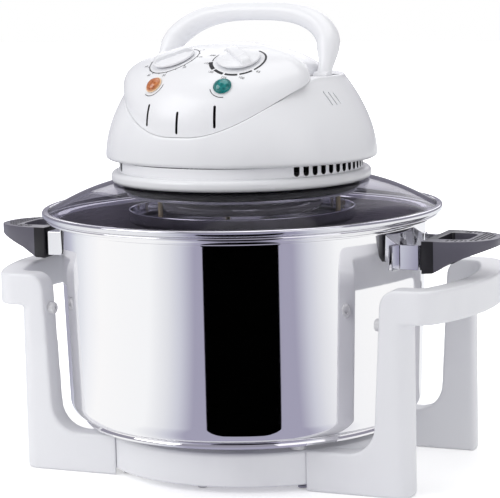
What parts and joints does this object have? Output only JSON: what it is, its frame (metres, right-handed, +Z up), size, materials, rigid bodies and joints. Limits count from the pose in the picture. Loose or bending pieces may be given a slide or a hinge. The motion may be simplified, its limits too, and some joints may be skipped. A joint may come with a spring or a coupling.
{
  "type": "halogen oven",
  "caption": "Countertop halogen oven: mirror-steel pot in a white stand with hand grips, lift-off glass lid carrying a round white heating head with dials, lamps and a carry handle.",
  "frame": {"origin": "on the table, straight below the pot's axis, at the height of the stand's feet", "axes": "+Z up, -Y towards the user's side of the stand, +X to the right along the line of the two pot grips"},
  "size_m": [0.4542, 0.3394, 0.3886],
  "materials": {
    "stand_plastic": "white moulded plastic, satin gloss",
    "head_plastic": "white moulded plastic, glossy",
    "clear_rubber": "translucent soft rubber",
    "screw_steel": "plain steel",
    "pot_steel": "mirror-polished stainless steel",
    "bracket_chrome": "polished chrome",
    "bakelite": "black moulded bakelite, grained on top",
    "lid_glass": "clear tempered glass, slightly grey",
    "rim_steel": "polished steel band",
    "post_brass": "polished brass",
    "inner_steel": "plain steel sheet",
    "guard_chrome": "chrome-plated sheet",
    "quartz": "quartz glass tube",
    "ceramic": "unglazed ceramic",
    "core_steel": "laminated steel",
    "winding": "lacquered copper wire",
    "inner_plastic": "black moulded plastic",
    "amber_lens": "clear amber plastic",
    "green_lens": "clear green plastic"
  },
  "bodies": {
    "stand": {"base_ring": "stand_plastic", "right_side_frame": "stand_plastic", "left_side_frame": "stand_plastic", "front_left_leg_stud": "clear_rubber", "front_right_leg_stud": "clear_rubber", "rear_left_leg_stud": "clear_rubber", "rear_right_leg_stud": "clear_rubber", "front_left_pot_pad": "clear_rubber", "front_right_pot_pad": "clear_rubber", "rear_left_pot_pad": "clear_rubber", "rear_right_pot_pad": "clear_rubber", "front_left_frame_screw": "screw_steel", "front_right_frame_screw": "screw_steel", "rear_left_frame_screw": "screw_steel", "rear_right_frame_screw": "screw_steel", "front_ring_foot": "clear_rubber", "rear_ring_foot": "clear_rubber"},
    "pot": {"pot_body": "pot_steel", "pot_base_disc": "pot_steel", "right_handle_bracket": "bracket_chrome", "left_handle_bracket": "bracket_chrome", "right_pot_grip": "bakelite", "left_pot_grip": "bakelite", "right_grip_bolt": "screw_steel", "left_grip_bolt": "screw_steel"},
    "lid": {"glass_lid": "lid_glass", "lid_rim_band": "rim_steel", "head_base": "head_plastic", "clamp_ring": "head_plastic", "head_shell": "head_plastic", "control_panel": "head_plastic", "heat_shield": "inner_steel", "halogen_tube": "quartz", "right_tube_clip": "ceramic", "left_tube_clip": "ceramic", "heater_guard": "guard_chrome", "guard_post_1": "post_brass", "guard_post_2": "post_brass", "guard_post_3": "post_brass", "motor_bracket": "inner_steel", "motor_core": "core_steel", "motor_coil": "winding", "timer_body": "inner_plastic", "thermostat_body": "inner_plastic", "power_lamp": "amber_lens", "heat_lamp": "green_lens", "right_pivot_pin": "inner_steel", "left_pivot_pin": "inner_steel", "safety_switch": "inner_plastic", "cord_gland": "inner_plastic"},
    "fan": {"motor_shaft": "inner_steel", "motor_rotor": "core_steel", "cooling_fan": "inner_plastic", "convection_fan": "inner_steel"},
    "timer_dial": {"timer_knob": "head_plastic"},
    "thermostat_dial": {"thermostat_knob": "head_plastic"},
    "handle": {"carry_handle": "head_plastic"},
    "plunger": {"switch_plunger": "clear_rubber"}
  },
  "joints": [
    {"name": "pot_lift", "type": "slide", "parent": "stand", "child": "pot", "axis": [0, 0, 1], "range_m": [0, 0.2]},
    {"name": "lid_lift", "type": "slide", "parent": "pot", "child": "lid", "axis": [0, 0, 1], "range_m": [0, 0.2]},
    {"name": "handle_swing", "type": "hinge", "parent": "lid", "child": "handle", "pos_m": [0, 0, 0.326], "axis": [0.9925, -0.1219, 0], "range_deg": [-20, 32]},
    {"name": "plunger_press", "type": "slide", "parent": "lid", "child": "plunger", "axis": [0, 0, 1], "range_m": [-0.0006, 0.0009]},
    {"name": "timer_turn", "type": "hinge", "parent": "lid", "child": "timer_dial", "pos_m": [-0.03723, -0.04883, 0.34495], "axis": [0.1452, 0.3645, -0.9198], "range_deg": [0, 300]},
    {"name": "thermostat_turn", "type": "hinge", "parent": "lid", "child": "thermostat_dial", "pos_m": [0.02431, -0.05638, 0.34495], "axis": [-0.0527, 0.3887, -0.9198], "range_deg": [0, 270]},
    {"name": "fan_spin", "type": "hinge", "parent": "lid", "child": "fan", "pos_m": [0, 0, 0.24], "axis": [0, 0, 1], "continuous": true}
  ],
  "couplings": [
    {"joint": "plunger_press", "follows": "handle_swing", "m_per_rad": 0.0012}
  ]
}
